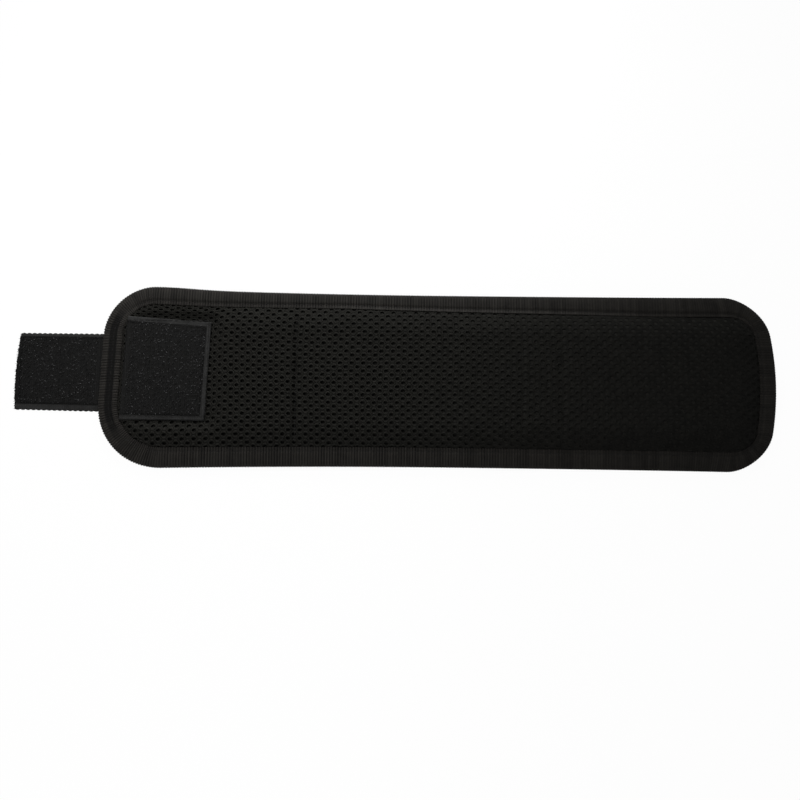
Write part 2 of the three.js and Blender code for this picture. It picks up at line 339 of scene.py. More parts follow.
def lip_share(x, out_y):
    """How far the selvage stands up from the mesh: most at the middle of the far side"""
    return np.interp(x, lip_places, lip_shares) * np.clip(out_y, 0, 1)


def edge_round(x, out_y):
    """How far in from the edge the tape goes on rising: least far at the far left"""
    far_round = np.interp(x, round_places, far_rounds)
    return far_round + (near_round - far_round) * np.clip(-out_y, 0, 1) ** 2


def edge_facing(x, inset, out_y):
    """How far the tape faces outwards at an inset: one at the edge, and zero where it lies flat"""
    return fade(inset, edge_round(x, out_y))


def tape_height(x, inset, leg, out_x, out_y):
    """The height of the tape's upper face at an inset from the edge"""
    rounded = edge_middle + edge_rise * np.sqrt(1 - edge_facing(x, inset, out_y) ** 2)
    inner = leg - inset
    lip = lip_rise * lip_share(x, out_y) * ease(fade(inner, lip_reach))
    groove = seam_dip * bell(inner - seam_inset, seam_width)
    ridge = ridge_rise * bell(inner - ridge_inset, ridge_reach)
    dips = np.clip(out_y, 0, 1) - lip_share(x, out_y)
    dip = edge_dip * dips * ease(fade(inner, edge_dip_reach))
    left = left_end(out_x)
    seamed = (1 - left) * (lip - groove - dip) + left * ridge
    return rounded + seamed - valley_dip * valley(inset, leg, out_x)


def points_of(piece):
    points = np.empty(len(piece.data.vertices) * 3)
    piece.data.vertices.foreach_get("co", points)
    return points.reshape(-1, 3)


def put_points(piece, points):
    piece.data.vertices.foreach_set("co", np.ascontiguousarray(points, dtype=float).ravel())
    piece.data.update()


def set_points(piece, x, y, z):
    """Puts a mesh's points at new places, measured along the band from its middle"""
    put_points(piece, np.stack(np.broadcast_arrays(x + band_middle, y, z), axis=-1))


def keep_on_points(piece, name, values, kind="FLOAT"):
    """Keeps a value on each point of a mesh, under a name that its material can read"""
    piece.data.attributes.new(name, kind, "POINT").data.foreach_set("value", values)


def alone(piece):
    bpy.ops.object.select_all(action="DESELECT")
    piece.select_set(True)
    bpy.context.view_layer.objects.active = piece


def edit_all(piece):
    """Opens one piece in edit mode with all of it selected"""
    alone(piece)
    bpy.ops.object.mode_set(mode="EDIT")
    bpy.ops.mesh.select_all(action="SELECT")


def leave_edit():
    bpy.ops.object.mode_set(mode="OBJECT")


def outwards():
    bpy.ops.mesh.normals_make_consistent(inside=False)
    leave_edit()


def welded(piece):
    """Joins a piece's seam, turns its faces outwards and gives it back"""
    edit_all(piece)
    bpy.ops.mesh.remove_doubles(threshold=weld)
    outwards()
    bpy.ops.object.shade_smooth()
    return piece


def applied(piece):
    alone(piece)
    for modifier in list(piece.modifiers):
        bpy.ops.object.modifier_apply(modifier=modifier.name)


def cloth_grid(name, along, across):
    """A flat grid with its map, and each point's shares along and across it"""
    bpy.ops.mesh.primitive_grid_add(x_subdivisions=along, y_subdivisions=across, size=1, calc_uvs=True)
    piece = bpy.context.object
    piece.name = name
    shares = points_of(piece) + 0.5
    return piece, shares[:, 0], shares[:, 1]


# The nine folds, from the hook end to the round end, and the middles of the sections between them
beyond = 1.0
folds = sorted(joint["pos_m"][0] for name, joint in joints.items() if name != "tab_fold")
cuts = [-beyond, *((a + b) / 2 for a, b in zip(folds, folds[1:])), beyond]


def section_of(node):
    """The number of the section that a node rides on"""
    bodies = frame["record"]["behaviour"]["bodies"]
    return next(int(body.split("_")[1]) for body, nodes in bodies.items() if node in nodes)


def drop_points(piece, dropped):
    """Deletes the chosen points of a piece, with the faces on them"""
    alone(piece)
    bpy.ops.object.mode_set(mode="EDIT")
    bpy.ops.mesh.select_mode(type="VERT")
    bpy.ops.mesh.select_all(action="DESELECT")
    leave_edit()
    piece.data.vertices.foreach_set("select", dropped)
    bpy.ops.object.mode_set(mode="EDIT")
    bpy.ops.mesh.delete(type="VERT")
    leave_edit()


def keep_copies_between(part, left, right):
    """Keeps the hooks, loops or stitches whose middles lie between two cuts, each of them whole"""
    points = points_of(part)
    copy = np.empty(len(points), dtype=np.int32)
    part.data.attributes["copy_number"].data.foreach_get("value", copy)
    middles = np.bincount(copy, points[:, 0]) / np.bincount(copy)
    drop_points(part, ~((left < middles) & (middles <= right))[copy])


def cut_sheet(part, left, right, thread):
    """Cuts one sheet at two places along the band. A closed sheet is closed again at its cuts, and an
    open one grows as thick as its thread"""
    for cut, way in ((left, -1), (right, 1)):
        edit_all(part)
        bpy.ops.mesh.bisect(
            plane_co=(cut, 0, 0), plane_no=(way, 0, 0), use_fill=not thread, clear_outer=True,
        )
        bpy.ops.mesh.mark_sharp()
        leave_edit()
    if thread:
        part.modifiers.new("thread", "SOLIDIFY").thickness = thread
        applied(part)


def bend_with_band(piece, material, slot, *starts, thread=0):
    """Parts a long piece at the middles of the sections, one part round each fold, and hides the CAD
    nodes whose names begin with one of the starts"""
    piece.data.materials.append(material)
    replaced = [node for node in frame["nodes"] if starts and node.startswith(starts)]
    parts = {}
    for number, (fold, left, right) in enumerate(zip(folds, cuts, cuts[1:]), start=1):
        part = piece.copy()
        part.data = piece.data.copy()
        part.name = f"{piece.name}_{number}"
        bpy.context.collection.objects.link(part)
        if "copy_number" in part.data.attributes:
            keep_copies_between(part, left, right)
        else:
            cut_sheet(part, left, right, thread)
        if not part.data.polygons:
            bpy.data.objects.remove(part)
            continue
        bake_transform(part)
        parts[number] = part
    bpy.data.objects.remove(piece)
    for node in replaced:
        number = min(max(section_of(node), min(parts)), max(parts))
        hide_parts(node)
    return list(parts.values())


def tape_section():
    """Rows of the tape's section: its share over the mesh and over the outer face, its inset, its own
    height or none where the tape's curve gives it, and how far below that curve it lies"""
    rows = []
    leg_steps, turn_steps, outer_steps = 24, 4, 5
    crowding = 1.4
    for step in range(leg_steps + 1):
        rows.append(((1 - step / leg_steps) ** crowding, 0, 0, math.nan, 0))
    for step in range(1, turn_steps + 1):
        angle = math.pi / 2 * step / turn_steps
        height = edge_middle - (edge_middle - tape_bottom) * math.sin(angle)
        rows.append((0, 0, tape_turn * (1 - math.cos(angle)), height, 0))
    for step in range(1, outer_steps + 1):
        share = step / outer_steps
        rows.append((0, share, tape_turn * (1 - share), tape_bottom, 0))
    inner = tape_thickness
    rows.append((0, 1, 0, tape_bottom + inner, 0))
    rows.append((0, 0, inner + tape_turn, tape_bottom + inner, 0))
    rows.append((0, 0, inner, edge_middle, 0))
    for share in (0.2, 0.4, 0.6, 0.72, 0.84, 1):
        rows.append((share, 0, inner * (1 - share), math.nan, inner))
    rows.append(rows[0])
    return np.array(rows), leg_steps + turn_steps + outer_steps


def edge_tape():
    ribs = round(outline_length / rib_pitch)
    section, last_outer = tape_section()
    piece, around, through = cloth_grid("edge_tape", ribs * rib_points, len(section) - 1)
    x, y, out_x, out_y = outline_at(around * outline_length)
    mesh_leg = leg_width(x, out_x, out_y)
    outer_leg = tape_width - mesh_leg - (tape_top - tape_bottom)
    row = np.rint(through * (len(section) - 1)).astype(int)
    leg_share, outer_share, inset, height, below = section[row].T
    inset = leg_share * mesh_leg + outer_share * outer_leg + inset
    upper = np.isnan(height)
    height = np.where(upper, tape_height(x, inset, mesh_leg, out_x, out_y) - below, height)
    held = valley(inset, mesh_leg, out_x) * upper
    selvage = bell(mesh_leg - inset, selvage_width) * upper * lip_share(x, out_y)
    left_ridge_highlight_mask = left_end(out_x) * upper * (1 - held)
    strong, light_share = (
        np.interp(around * ribs, np.arange(ribs), drawn, period=ribs)
        for drawn in rib_draws.uniform(*zip(rib_strengths, rib_tones), (ribs, 2)).T
    )
    strong = strong * np.interp(x, fade_places, fade_shares)
    calm = (1 - valley_calm * held) * (1 - selvage_calm * selvage)
    wave = strong * np.cos(2 * math.pi * ribs * around) * calm
    facing = edge_facing(x, inset, out_y)
    outer = (row <= last_outer) | (row == len(section) - 1)
    rib = rib_height * wave * outer
    steep = np.sqrt(1 - facing ** 2)
    up = np.where(upper, steep, np.where(outer_share > 0, -1, -steep))
    out = np.where(outer_share > 0, 0, facing)
    inset_rib = inset - rib * out
    set_points(piece, *shaped(x - inset_rib * out_x, y - inset_rib * out_y), height + rib * up)
    # Painted shade and highlight: the yarn is painted darker between the ribs and lighter on their
    # crests, with a random tone for each rib. The left end's ridges and the lifted selvage get painted
    # highlights, and the seam valley gets painted shade.
    bright = (0.5 + 0.5 * wave + light_share) * (1 - held + ridge_painted_highlight * left_ridge_highlight_mask)
    keep_on_points(piece, "yarn_light", bright + selvage_painted_highlight * selvage - valley_shade * held)
    return welded(piece)


def textured(tree, kind, scale, **settings):
    """A procedural texture on object coordinates; its settings are inputs or properties of its node"""
    node = tree.nodes.new(f"ShaderNodeTex{kind}")
    node.inputs["Scale"].default_value = scale
    for name, value in settings.items():
        if name in node.inputs:
            node.inputs[name].default_value = value
        else:
            setattr(node, name, value)
    place = tree.nodes.new("ShaderNodeTexCoord").outputs["Object"]
    tree.links.new(place, node.inputs["Vector"])
    return node.outputs["Fac"]


def coloured(tree, shader, value, dark, light, start=0.35, end=0.65):
    """Gives the shader a colour between two as a value goes from start to end"""
    node = tree.nodes.new("ShaderNodeValToRGB")
    for stop, position, colour in zip(node.color_ramp.elements, (start, end), (dark, light)):
        stop.position = position
        stop.color = (*colour, 1)
    tree.links.new(value, node.inputs["Fac"])
    tree.links.new(node.outputs["Color"], shader.inputs["Base Color"])


def raised(tree, shader, height, distance):
    node = tree.nodes.new("ShaderNodeBump")
    node.inputs["Strength"].default_value = 1.0
    node.inputs["Distance"].default_value = distance
    tree.links.new(height, node.inputs["Height"])
    tree.links.new(node.outputs["Normal"], shader.inputs["Normal"])


def cloth(name, roughness, shine, fuzz=0.0):
    """A material for cloth or yarn, by how rough, shiny and fuzzy it is"""
    material, tree, shader = new_material(name)
    shader.inputs["Roughness"].default_value = roughness
    shader.inputs["Specular IOR Level"].default_value = shine
    shader.inputs["Sheen Weight"].default_value = fuzz
    return material, tree, shader


def carried(tree, name):
    """The value that a piece's mesh carries under this name"""
    node = tree.nodes.new("ShaderNodeAttribute")
    node.attribute_name = name
    return node.outputs["Fac"]


def ribbed_tape():
    material, tree, shader = cloth("ribbed_tape", roughness=0.6, shine=0.042, fuzz=0.02)
    yarn = textured(tree, "Noise", scale=2600, Detail=3.0)
    patches = textured(tree, "Noise", scale=330, Detail=3.0)
    # The tape's colour follows its painted rib shade and highlights, with random yarn noise on top
    crest = times(tree, carried(tree, "yarn_light"), rib_weight)
    uneven = times(tree, plus(tree, yarn, patches), yarn_weight)
    coloured(
        tree, shader, plus(tree, crest, uneven),
        dark=(0.0012, 0.0011, 0.0010), light=(0.0180, 0.0166, 0.0148), start=0.3, end=1.0,
    )
    raised(tree, shader, yarn, distance=0.13 * mm)
    return material


bend_with_band(edge_tape(), ribbed_tape(), "binding", "binding_")

# The padded lining: a thick spacer mesh, soft and black, that swells between the binding's inner edges.
# It is pressed flat under the hook patch and drawn down along one stitched channel.
seat_gap = 0.3 * mm
lining_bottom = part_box("mesh_lining_10")[0][2]
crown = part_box("mesh_lining_10")[1][2]
net_drop = 0.4 * mm
net_start = tape_top - net_drop
shoulder_width = 13 * mm
shoulder_power = 2.0
patch_length = 43.8 * mm
patch_width = 50 * mm
patch_middle = 4.5 * mm
patch_gap = 0.6 * mm
patch_left = -half_length + left_leg + patch_gap
patch_right = patch_left + patch_length
patch_near = patch_middle - patch_width / 2
patch_far = patch_middle + patch_width / 2
patch_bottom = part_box("hook_patch_2")[0][2]
pressed_top = patch_bottom - 0.1 * mm
pressed_reach = 8 * mm
channel_depth = 1.5 * mm
channel_reach = 0.9 * mm
channel_wander = 0.3 * mm
channel_waves = ((0, 170, 1), (0, 67, 0))
channel_unevenness = 0.2
channel_depth_wave = (0, 310, 0)
crease_places = (-100.5 * mm, 41 * mm, 60.5 * mm)
crease_depth = 0.3 * mm
crease_reach = 1.3 * mm
lining_waves = (((97, 61, 0), (-38, 143, 1)), ((211, 0, 2), (0, 173, 0)))
lining_wave_depth = 0.1 * mm
under_tape_gap = 0.05 * mm
pad_inset = 1.0 * mm
pad_step = 1.4 * mm
pad_gap = 0.1 * mm
pad_thinnest = 0.1 * mm
pad_lowest = 0.15 * mm
net_depth = 0.85 * mm
taut_places = (-100 * mm, -30 * mm, 40 * mm, 120 * mm)
taut_shares = (1.6, 1.2, 0.62, 0.25)
# How much darker the net is painted where its holes are shallow, towards the right end: painted shade
right_end_painted_shade = 0.45
magnet_nodes = [node for node in frame["nodes"] if node.startswith(("magnet_far", "magnet_near"))]
carrier_nodes = [node for node in frame["nodes"] if node.startswith("magnet_sheet")]
magnet_room = 0.3 * mm
magnet_wall = 2 * mm


def ripples(x, y, *waves):
    """Waves multiplied together: each one's turn per metre along and across the band, and its start"""
    return math.prod(np.sin(x * along + y * across + start) for along, across, start in waves)


def corner_radius(x, y):
    return np.where(x < 0, np.where(y > 0, far_left_radius, near_left_radius), right_radius)


def edge_of(x, y):
    """How far in from the plain strip's edge a place is, and which way that edge faces"""
    radius = corner_radius(x, y)
    past_x = np.abs(x) - (half_length - radius)
    past_y = np.abs(y) - (half_width - radius)
    corner_x, corner_y = np.maximum(past_x, 0), np.maximum(past_y, 0)
    inside = np.minimum(np.maximum(past_x, past_y), 0)
    inset = radius - np.hypot(corner_x, corner_y) - inside
    deep = (past_x <= 0) & (past_y <= 0)
    out_x = np.where(deep, past_x > past_y, corner_x)
    out_y = np.where(deep, past_x <= past_y, corner_y)
    size = np.maximum(np.hypot(out_x, out_y), 1e-9)
    return inset, np.sign(x) * out_x / size, np.sign(y) * out_y / size


def lining_height(x, y):
    """The height of the mesh over each place of the plain strip; it goes on under the tape"""
    inset, out_x, out_y = edge_of(x, y)
    leg = leg_width(x, out_x, out_y)
    swell = 1 - (1 - rise(inset - leg, shoulder_width)) ** shoulder_power
    height = net_start + (crown - net_start) * swell
    across = shaped(x, y)[1]
    away = np.hypot(
        np.maximum(np.maximum(patch_left - x, x - patch_right), 0),
        np.maximum(np.maximum(patch_near - across, across - patch_far), 0),
    )
    pressed = pressed_top + (crown - pressed_top) * ease(rise(away, pressed_reach))
    height = np.minimum(height, pressed)
    channel = channel_place + channel_wander * ripples(x, y, *channel_waves)
    drawn = channel_depth * (1 + channel_unevenness * ripples(x, y, channel_depth_wave))
    height = height - drawn * swell * bell(x - channel, channel_reach)
    for place in crease_places:
        height = height - crease_depth * swell * bell(x - place, crease_reach)
    waves = sum(ripples(x, y, *pair) for pair in lining_waves)
    height = height - lining_wave_depth * swell * (1 + waves / 2)
    under = tape_height(x, inset, leg, out_x, out_y) - tape_thickness - under_tape_gap
    return np.where(inset < leg, np.minimum(height, under), height)


def strip_place(along, across, inset):
    """A place on the plain strip, inside its edge by an inset, from shares along and across it"""
    x = (2 * along - 1) * (half_length - inset)
    radius = corner_radius(x, across - 0.5)
    past = np.clip(np.abs(x) - (half_length - radius), 0, radius - inset)
    reach = half_width - radius + np.sqrt((radius - inset) ** 2 - past ** 2)
    return x, (2 * across - 1) * reach


def slab(name, along, across):
    """A closed sheet: its upper points come first, then as many lower ones"""
    piece, along_share, across_share = cloth_grid(name, along, across)
    piece.modifiers.new("layers", "SOLIDIFY").thickness = 1
    applied(piece)
    upper = np.arange(len(piece.data.vertices)) < len(along_share)
    return piece, np.tile(along_share, 2), np.tile(across_share, 2), upper


def node_middle(node):
    """The middle of a CAD node's box, and how far the box reaches from there"""
    low, high = (np.array(corner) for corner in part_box(node))
    return (low + high) / 2, (high - low) / 2


def pad_floor(x, y):
    """The pad's underside: it clears the carrier sheets and the discs that lie on them"""
    height = np.full(np.shape(x), lining_bottom)
    for node in carrier_nodes + magnet_nodes:
        middle, reach = node_middle(node)
        away_x, away_y = np.abs(x + band_middle - middle[0]), np.abs(y - middle[1])
        if node in magnet_nodes:
            share = fade(np.hypot(away_x, away_y) - reach[0] - magnet_room, magnet_wall)
        else:
            share = fade(np.maximum(away_x - reach[0], away_y - reach[1]), seat_gap)
        top = middle[2] + reach[2] + pad_gap
        height = np.maximum(height, lining_bottom + (top - lining_bottom) * share)
    return height


def air_pad():
    along = round(band_length / pad_step)
    across = round(left_width / pad_step)
    piece, along_share, across_share, upper = slab("air_pad", along, across)
    x, y = strip_place(along_share, across_share, pad_inset)
    place = shaped(x, y)
    relief = np.interp(x, taut_places, taut_shares)
    top = np.maximum(lining_height(x, y) - net_depth * relief, lining_bottom + pad_lowest)
    bottom = np.minimum(pad_floor(*place), top - pad_thinnest)
    set_points(piece, *place, np.where(upper, top, bottom))
    return welded(piece)


def one_pattern(name, kind, roughness, shine, dark, light, height, **settings):
    """A cloth whose colours and surface follow one texture"""
    material, tree, shader = cloth(name, roughness, shine)
    pattern = textured(tree, kind, **settings)
    coloured(tree, shader, pattern, dark, light)
    raised(tree, shader, pattern, height)
    return material


spacer_yarn = one_pattern(
    "spacer_yarn", "Noise", scale=3200, Detail=4.0, roughness=0.95, shine=0.02,
    dark=(0.0088, 0.0087, 0.0080), light=(0.0195, 0.0192, 0.0175), height=0.2 * mm,
)
for part in bend_with_band(air_pad(), spacer_yarn, "mesh_lining", "mesh_lining_"):
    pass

# The face of the lining: a warp-knitted polyester net. Its threads run in crossing bundles round
# staggered oval holes, and the dark pad shows through them.
hole_pitch = 5.64 * mm
hole_row_pitch = 2.065 * mm
hole_length = 2.1 * mm
hole_width = 1.6 * mm
hole_steps = 12
net_rings = (1.0, 0.8, 0.6, 0.4, 0.2)
net_ring_shares = (0, 0.42, 0.8, 1, 1)
net_ring_sizes = (1, 1, 1, 1, 0.86)
net_crest_drop = 0.06 * mm
net_valley = 0.34 * mm
net_corner_valley = 0.42 * mm
net_rim_drop = 0.22 * mm
# Painted shade and highlight for each ring, from the border in to the hole: lighter on the crest, darker
# down into the hole and in the border valleys
net_ring_painted_light = (0.25, 1.0, 0.75, 0.4, 0.0)
net_thread = 0.1 * mm
net_tuck = 5.5 * mm
net_patch_tuck = 4.6 * mm
net_wander_along = 0.4 * mm
net_wander_across = 0.2 * mm
net_waves = ((31, 95, 0), (63, 22, 1.3))
net_lowest = 0.05 * mm
net_strands = 1.5
net_frizz = 6.0
net_weight = 0.5
bunch_place = -134 * mm
bunch_reach = 27 * mm
bunch_share = 0.45


def net_cell():
    """One hole of the net with the threads round it, out to the six-sided border it shares"""
    bpy.ops.mesh.primitive_circle_add(vertices=hole_steps, radius=net_rings[0], fill_type="NOTHING")
    piece = bpy.context.object
    piece.name = "mesh_net"
    edit_all(piece)
    for before, ring in zip(net_rings, net_rings[1:]):
        bpy.ops.mesh.extrude_edges_move()
        bpy.ops.transform.resize(value=(ring / before, ring / before, 1))
    leave_edit()
    x, y, _ = points_of(piece).T
    ring = np.rint((1 - np.hypot(x, y)) * len(net_rings)).astype(int)
    step = np.rint(np.arctan2(y, x) / (2 * math.pi) * hole_steps).astype(int) % hole_steps
    half_pitch = hole_pitch / 2
    reach = (half_pitch ** 2 + hole_row_pitch ** 2) / 2
    tip = reach / half_pitch
    shoulder = (reach - hole_row_pitch ** 2) / half_pitch
    corners = np.array([(tip, 0), (shoulder, hole_row_pitch), (-shoulder, hole_row_pitch)])
    corners = np.concatenate([corners, -corners])
    border = np.stack([corners, (corners + np.roll(corners, -1, axis=0)) / 2], axis=1).reshape(-1, 2)
    around = np.arange(hole_steps) * 2 * math.pi / hole_steps
    rim = np.stack([np.cos(around) * hole_length / 2, np.sin(around) * hole_width / 2], axis=1)
    share, size = (np.choose(ring, values)[:, None] for values in (net_ring_shares, net_ring_sizes))
    flat = (border[step] * (1 - share) + rim[step] * share) * size
    border_depth = np.where(step % 2 == 0, net_corner_valley, net_valley)
    depth = np.choose(ring, [border_depth, 0, net_crest_drop, net_rim_drop, net_depth])
    put_points(piece, np.column_stack([flat, -depth]))
    keep_on_points(piece, "across_thread", ring.astype(float))
    # Painted shade and highlight, kept on each point by its ring
    keep_on_points(piece, "thread_light", np.choose(ring, net_ring_painted_light))
    return piece


def repeat(piece, count, offset):
    array = piece.modifiers.new("copies", "ARRAY")
    array.count = count
    array.use_relative_offset = False
    array.use_constant_offset = True
    array.constant_offset_displace = offset


def mesh_net():
    piece = net_cell()
    columns = math.ceil(band_length / hole_pitch) + 1
    rows = math.ceil(left_width / (2 * hole_row_pitch)) + 1
    repeat(piece, 2, (hole_pitch / 2, hole_row_pitch, 0))
    repeat(piece, columns, (hole_pitch, 0, 0))
    repeat(piece, rows, (0, 2 * hole_row_pitch, 0))
    applied(piece)
    points = points_of(piece) - (columns * hole_pitch / 2, rows * hole_row_pitch, 0)
    put_points(piece, points)
    per_cell = hole_steps * len(net_rings)
    x, y, _ = points.reshape(-1, per_cell, 3).mean(axis=1).T
    inset, out_x, out_y = edge_of(x, y)
    kept = inset > leg_width(x, out_x, out_y) - net_tuck
    across = shaped(x, y)[1]
    under = (x > patch_left + net_patch_tuck) & (x < patch_right - net_patch_tuck)
    under &= (across > patch_near + net_patch_tuck) & (across < patch_far - net_patch_tuck)
    drop_points(piece, np.repeat(~(kept & ~under), per_cell))
    welded(piece)
    x, y, depth = points_of(piece).T
    along, across = (ripples(x, y, wave) for wave in net_waves)
    x, y = x + net_wander_along * along, y + net_wander_across * across
    y = y - bunch_share * bell(x - bunch_place, bunch_reach, 4) * np.maximum(y - patch_far, 0)
    relief = np.interp(x, taut_places, taut_shares)
    height = np.maximum(lining_height(x, y) + depth * relief, lining_bottom + net_lowest)
    set_points(piece, *shaped(x, y), height)
    # The painted thread shade is strongest where the holes are deepest, and the net is painted darker
    # where they are shallow
    light = piece.data.attributes["thread_light"].data
    values = np.empty(len(x))
    light.foreach_get("value", values)
    light.foreach_set("value", 0.5 + (values - 0.5) * relief - right_end_painted_shade * np.maximum(1 - relief, 0))
    return piece


def knitted_net():
    material, tree, shader = cloth("knitted_net", roughness=0.6, shine=0.03)
    frizz = textured(tree, "Noise", scale=1500, Detail=3.0)
    uneven = textured(tree, "Noise", scale=240, Detail=3.0)
    waves = times(tree, carried(tree, "across_thread"), 2 * math.pi * net_strands)
    strands = maths(tree, "SINE", plus(tree, waves, times(tree, frizz, net_frizz)))
    # The net's colour follows its painted thread shade and highlight, with random yarn noise
    crest = times(tree, carried(tree, "thread_light"), net_weight)
    noise = times(tree, plus(tree, frizz, uneven), net_weight)
    coloured(
        tree, shader, plus(tree, crest, noise),
        dark=(0.0028, 0.0028, 0.0025), light=(0.0117, 0.0114, 0.0099), start=0.45, end=1.1,
    )
    raised(tree, shader, strands, distance=0.05 * mm)
    return material


bend_with_band(mesh_net(), knitted_net(), "mesh_lining", thread=net_thread)

# The hook tapes: woven nylon strips whose moulded hooks stand in rows between two plain selvages. The
# 50 mm patch is sewn to the mesh, and the 38 mm tab is sewn on behind the left end and sticks out.
tape_base = 0.7 * mm
hook_height = 0.95 * mm
hook_thread = 0.13 * mm
hook_sides = 3
hook_row_pitch = 1.45 * mm
hook_pitch = 1.3 * mm
hook_curl = 0.26 * mm
hook_curl_turn = math.radians(205)
hook_stray = 0.48
hook_swing = 1.2
hook_lean = 0.3
hook_squat = (0.82, 1.0)
glint_rarity = 3.3
patch_margin = 2.3 * mm
patch_steps = (90, 104)
patch_roll = 0.3 * mm
patch_roll_reach = 0.7 * mm
patch_seam = 1.25 * mm
patch_seam_dip = 0.16 * mm
patch_seam_width = 0.35 * mm
patch_left_near = (0.9 * mm, -0.6 * mm)
patch_left_far = (1.6 * mm, 0.8 * mm)
patch_right_near = (-1.6 * mm, -0.9 * mm)
patch_right_far = (-0.1 * mm, -2.0 * mm)
tab_width = 38 * mm
tab_middle = 2.6 * mm
tab_near = tab_middle - tab_width / 2
tab_far = tab_middle + tab_width / 2
tab_gap = 0.45 * mm
tab_hinge = -half_length - tab_gap
tab_root = 8.15 * mm
tab_seam_end = tab_hinge + tab_root
tab_reach = 41.35 * mm
tab_end = tab_hinge - tab_reach
tab_bow = 1 * mm
tab_near_margin = 3.0 * mm
tab_far_margin = 1.5 * mm
tab_root_margin = 2.4 * mm
tab_end_margin = 0.9 * mm
tab_end_margin_near = 1.6 * mm
field_line = 0.45 * mm
field_line_shade = 0.45
field_rise = 0.1 * mm
field_reach = 0.4 * mm
hook_sink = 0.05 * mm
tab_steps = (150, 112)
tab_flare_near = 0.7 * mm
tab_flare_far = 0.3 * mm
tab_plain_root = 8 * mm
tab_plain_reach = 2 * mm
tab_roll = 0.28 * mm
tab_roll_reach = 0.6 * mm
tab_rag = 0.25 * mm
on_edge = 1e-4
picot_pitch = 2.6 * mm
picot_reach = 0.42 * mm
picot_level = 0.6
fray_count = 110
fray_radii = (0.06 * mm, 0.03 * mm)
fray_lengths = (0.4 * mm, 1.3 * mm)
fray_root = 0.3 * mm
fray_height = 0.35 * mm
fray_swing = 0.6
fray_droop = 0.35
hook_fine_weight = 0.2
plain_weight = 0.85
weave_weight = 0.27
draws = np.random.default_rng(11)


def copies(piece, count):
    """Copies a small piece in place and numbers the copies; gives every copy's points, a row for each"""
    repeat(piece, count, (0, 0, 0))
    applied(piece)
    points = points_of(piece).reshape(count, -1, 3)
    numbers = np.repeat(np.arange(count, dtype=np.int32), points.shape[1])
    keep_on_points(piece, "copy_number", numbers, "INT")
    return points


def turned(points, heading):
    """Points of the copies, each copy turned about the upright through its own origin"""
    cos, sin = np.cos(heading)[:, None], np.sin(heading)[:, None]
    x, y, z = np.moveaxis(points, -1, 0)
    return x * cos - y * sin, x * sin + y * cos, z


def cells(columns, rows):
    """The column and the row of each place in a field"""
    return (grid.ravel() for grid in np.meshgrid(np.arange(columns), np.arange(rows)))


def hook():
    """One moulded hook: a bristle that stands up and curls over at its top"""
    bpy.ops.mesh.primitive_circle_add(vertices=hook_sides, radius=hook_thread, fill_type="TRIFAN")
    piece = bpy.context.object
    top = hook_height - hook_curl
    edit_all(piece)
    bpy.ops.mesh.extrude_region_move(TRANSFORM_OT_translate={"value": (0, 0, top)})
    bpy.ops.mesh.spin(steps=4, angle=hook_curl_turn, center=(hook_curl, 0, top), axis=(0, 1, 0))
    bpy.ops.mesh.select_all(action="SELECT")
    outwards()
    return piece


def hook_field(name, place_of, columns, rows):
    """Rows of hooks that face each way by turns; each hook leans a little its own way"""
    piece = hook()
    piece.name = name
    points = copies(piece, columns * rows)
    column, row = cells(columns, rows)
    along = (column + 0.5 + draws.uniform(-hook_stray, hook_stray, row.size)) / columns
    across = (row + 0.5 + draws.uniform(-hook_stray, hook_stray, row.size)) / rows
    heading = np.where(row % 2 == 0, 0, math.pi) + draws.uniform(-hook_swing, hook_swing, row.size)
    lean_x, lean_y = draws.uniform(-hook_lean, hook_lean, (2, row.size, 1))
    x, y, z = turned(points, heading)
    squat = draws.uniform(*hook_squat, (row.size, 1))
    base_x, base_y, base_z = place_of(along, across)
    x, y = x + lean_x * z + base_x[:, None], y + lean_y * z + base_y[:, None]
    set_points(piece, x, y, z * squat + base_z)
    # Painted glints: a few hooks, drawn at random, are coloured much lighter, as if they caught the
    # light
    glint = draws.uniform(0, 1, row.size) ** glint_rarity
    keep_on_points(piece, "hook_light", np.repeat(glint, points.shape[1]))
    bpy.ops.object.shade_smooth()
    return piece


def hook_yarn():
    material, tree, shader = cloth("hook_nylon", roughness=0.35, shine=0.08)
    fine = times(tree, textured(tree, "Noise", scale=900, Detail=2.0), hook_fine_weight)
    # Most hooks are dark; the light end of the ramp is the painted glint
    coloured(
        tree, shader, plus(tree, fine, carried(tree, "hook_light")),
        dark=(0.0050, 0.0050, 0.0050), light=(0.090, 0.090, 0.092), start=0.1, end=1.1,
    )
    return material


def hook_ground():
    material, tree, shader = cloth("hook_tape_ground", roughness=0.6, shine=0.03)
    lengthwise = textured(tree, "Wave", scale=420, bands_direction="Y", Distortion=0.6)
    crosswise = textured(tree, "Wave", scale=300, bands_direction="X", Distortion=0.8)
    weave = times(tree, lengthwise, crosswise)
    fuzz = textured(tree, "Noise", scale=1400, Detail=3.0)
    worn = textured(tree, "Noise", scale=150, Detail=2.0)
    # The selvage's own lighter tone, and a painted shade line at the edge of the hook field
    plain = times(tree, carried(tree, "plain_edge"), times(tree, worn, plain_weight))
    woven = times(tree, plus(tree, weave, fuzz), weave_weight)
    coloured(
        tree, shader, plus(tree, woven, plain),
        dark=(0.0024, 0.0024, 0.0023), light=(0.0214, 0.0214, 0.0210), start=0.02, end=0.85,
    )
    raised(tree, shader, weave, distance=0.12 * mm)
    return material


ground, nylon = hook_ground(), hook_yarn()


def patch_place(along, across):
    """A place on the patch, whose four corners are pulled a little out of square as it is sewn on"""
    y = patch_near + patch_width * across
    x = leaned(patch_left + patch_length * along, y)
    left = [(1 - across) * near + across * far for near, far in zip(patch_left_near, patch_left_far)]
    right = [(1 - across) * near + across * far for near, far in zip(patch_right_near, patch_right_far)]
    return x + left[0] * (1 - along) + right[0] * along, y + left[1] * (1 - along) + right[1] * along


